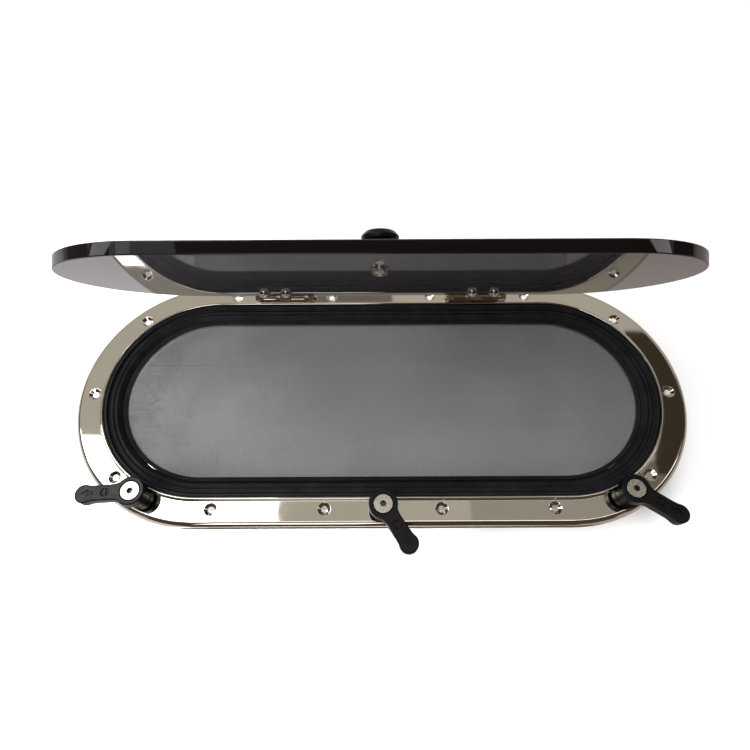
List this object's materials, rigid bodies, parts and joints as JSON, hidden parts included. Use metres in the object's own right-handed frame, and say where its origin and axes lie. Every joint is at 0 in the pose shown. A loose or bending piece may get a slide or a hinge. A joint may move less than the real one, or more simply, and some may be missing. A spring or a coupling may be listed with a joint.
{
  "type": "opening porthole",
  "caption": "Oblong opening porthole: polished flanged frame with spigot, hinged smoked acrylic lid, ribbed rubber seal, insect screen and swivelling black dogs.",
  "frame": {"origin": "middle of the bounding box's base, with the lid open as it rests and the part standing on the spigot's end", "axes": "+X along the long side, +Z out of the flange towards the lid, +Y towards the hinges"},
  "size_m": [0.5782, 0.2746, 0.2287],
  "materials": {
    "mirror_steel": "mirror-polished stainless steel",
    "satin_steel": "satin stainless steel fasteners",
    "seal_rubber": "matt black moulded rubber",
    "screen_frame": "satin black plastic",
    "screen_cloth": "fine grey woven insect screen",
    "smoked_acrylic": "polished dark smoked acrylic sheet",
    "black_plastic": "semi-gloss black moulded nylon"
  },
  "bodies": {
    "frame": {"flange_ring": "mirror_steel", "spigot_sleeve": "mirror_steel", "seal_ledge": "mirror_steel", "main_seal": "seal_rubber", "screen_frame_upper": "screen_frame", "screen_mesh": "screen_cloth", "screen_frame_lower": "screen_frame", "hinge_frame_leaf_left": "mirror_steel", "hinge_pin_left": "mirror_steel", "hinge_frame_leaf_right": "mirror_steel", "hinge_pin_right": "mirror_steel", "dog_base_left": "black_plastic", "dog_washer_left": "black_plastic", "dog_bolt_left": "satin_steel", "dog_bush_left": "satin_steel", "dog_nut_left": "satin_steel", "dog_base_centre": "black_plastic", "dog_washer_centre": "black_plastic", "dog_bolt_centre": "satin_steel", "dog_bush_centre": "satin_steel", "dog_nut_centre": "satin_steel", "dog_base_right": "black_plastic", "dog_washer_right": "black_plastic", "dog_bolt_right": "satin_steel", "dog_bush_right": "satin_steel", "dog_nut_right": "satin_steel"},
    "lid": {"lid_pane": "smoked_acrylic", "lid_knob": "black_plastic", "knob_stud": "satin_steel", "knob_washer": "satin_steel", "knob_nut": "satin_steel", "hinge_lid_leaf_left": "mirror_steel", "hinge_gasket_left": "seal_rubber", "lid_bolt_left_1": "mirror_steel", "dome_nut_left_1": "mirror_steel", "lid_bolt_left_2": "mirror_steel", "dome_nut_left_2": "mirror_steel", "hinge_lid_leaf_right": "mirror_steel", "hinge_gasket_right": "seal_rubber", "lid_bolt_right_1": "mirror_steel", "dome_nut_right_1": "mirror_steel", "lid_bolt_right_2": "mirror_steel", "dome_nut_right_2": "mirror_steel"},
    "lever_left": {"dog_lever_left": "black_plastic"},
    "lever_centre": {"dog_lever_centre": "black_plastic"},
    "lever_right": {"dog_lever_right": "black_plastic"}
  },
  "joints": [
    {"name": "lid_hinge", "type": "hinge", "parent": "frame", "child": "lid", "pos_m": [0, 0.1234, 0.0441], "axis": [-1, 0, 0], "range_deg": [-64, 36]},
    {"name": "lever_left_swivel", "type": "hinge", "parent": "frame", "child": "lever_left", "pos_m": [-0.21314, -0.08555, 0.048], "axis": [0, 0, 1], "range_deg": [-120.9, 59.1]},
    {"name": "lever_centre_swivel", "type": "hinge", "parent": "frame", "child": "lever_centre", "pos_m": [0, -0.0974, 0.048], "axis": [0, 0, 1], "range_deg": [-33, 147]},
    {"name": "lever_right_swivel", "type": "hinge", "parent": "frame", "child": "lever_right", "pos_m": [0.21314, -0.08555, 0.048], "axis": [0, 0, 1], "range_deg": [-29.1, 150.9]}
  ]
}
